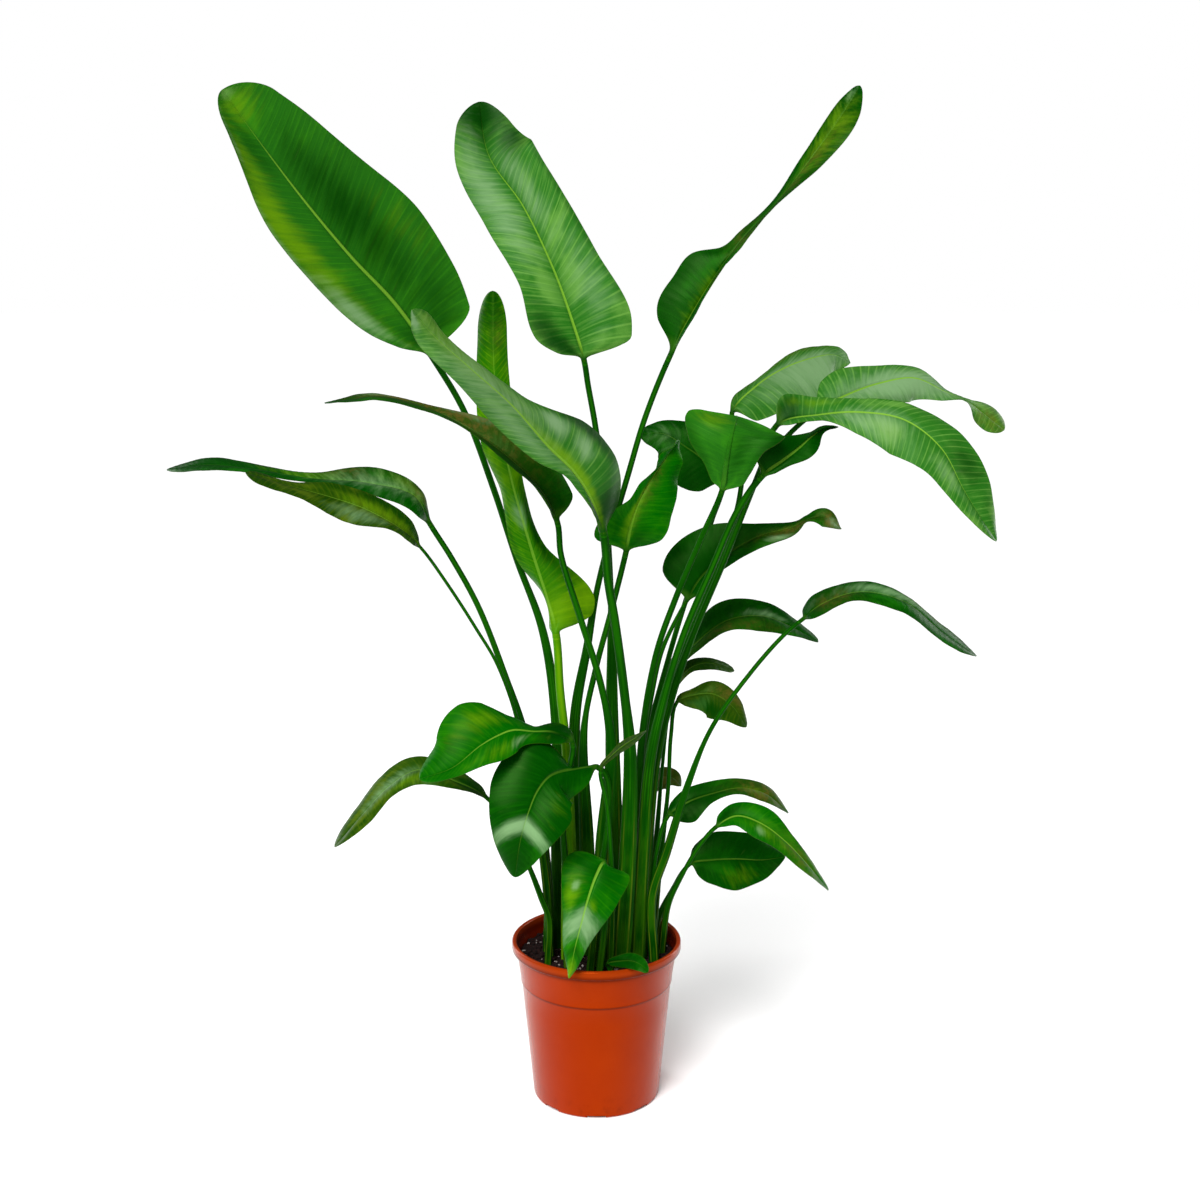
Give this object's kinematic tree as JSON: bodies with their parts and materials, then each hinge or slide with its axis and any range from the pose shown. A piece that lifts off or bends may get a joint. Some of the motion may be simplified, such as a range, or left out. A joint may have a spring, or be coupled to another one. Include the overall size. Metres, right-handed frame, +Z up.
{
  "type": "potted bird of paradise",
  "caption": "Tall potted bird of paradise house plant with long-stalked arching leaves, in a round orange-brown plastic nursery pot that stands free on the floor",
  "frame": {"origin": "centre of the pot's flat underside, where it meets the floor", "axes": "+Z up along the pot's axis, -Y toward the viewer of the picture, +X to the viewer's right"},
  "size_m": [1.1856, 0.4715, 1.4071],
  "materials": {
    "pot_plastic": "semi-gloss moulded polypropylene, orange-brown",
    "potting_soil": "matte moist peat with white perlite grains",
    "leaf_deep_green": "smooth waxy leaf, deep green",
    "leaf_bright_green": "smooth waxy leaf, light shining through, bright green",
    "leaf_young_green": "satin young leaf, yellow-green",
    "leaf_sheen_green": "waxy upper side with a grey sheen, green",
    "leaf_olive_green": "satin ageing leaf, olive green"
  },
  "bodies": {
    "root": {"pot": "pot_plastic", "soil": "potting_soil", "leaf_top_left": "leaf_bright_green", "leaf_top_centre": "leaf_sheen_green", "leaf_diagonal": "leaf_sheen_green", "leaf_young_upright": "leaf_young_green", "leaf_dark_left": "leaf_deep_green", "leaf_far_left_upper": "leaf_deep_green", "leaf_far_left_lower": "leaf_olive_green", "leaf_low_left_olive": "leaf_olive_green", "leaf_low_left_bright": "leaf_bright_green", "leaf_top_right": "leaf_deep_green", "leaf_inner_wavy": "leaf_bright_green", "leaf_low_centre": "leaf_deep_green", "leaf_narrow_young": "leaf_olive_green", "leaf_front_hanging": "leaf_bright_green", "leaf_rim_small": "leaf_deep_green", "leaf_bright_cup": "leaf_bright_green", "leaf_dark_inner": "leaf_deep_green", "leaf_right_arching": "leaf_sheen_green", "leaf_right_curled_tip": "leaf_sheen_green", "leaf_back_grey": "leaf_sheen_green", "leaf_back_pointing_left": "leaf_deep_green", "leaf_mid_right": "leaf_deep_green", "leaf_mid_right_lower": "leaf_deep_green", "leaf_far_right_low": "leaf_deep_green", "leaf_small_upper": "leaf_olive_green", "leaf_brown": "leaf_olive_green", "leaf_olive_behind": "leaf_olive_green", "leaf_low_right": "leaf_deep_green", "leaf_low_right_dark": "leaf_deep_green", "leaf_low_right_bright": "leaf_bright_green"}
  },
  "joints": []
}
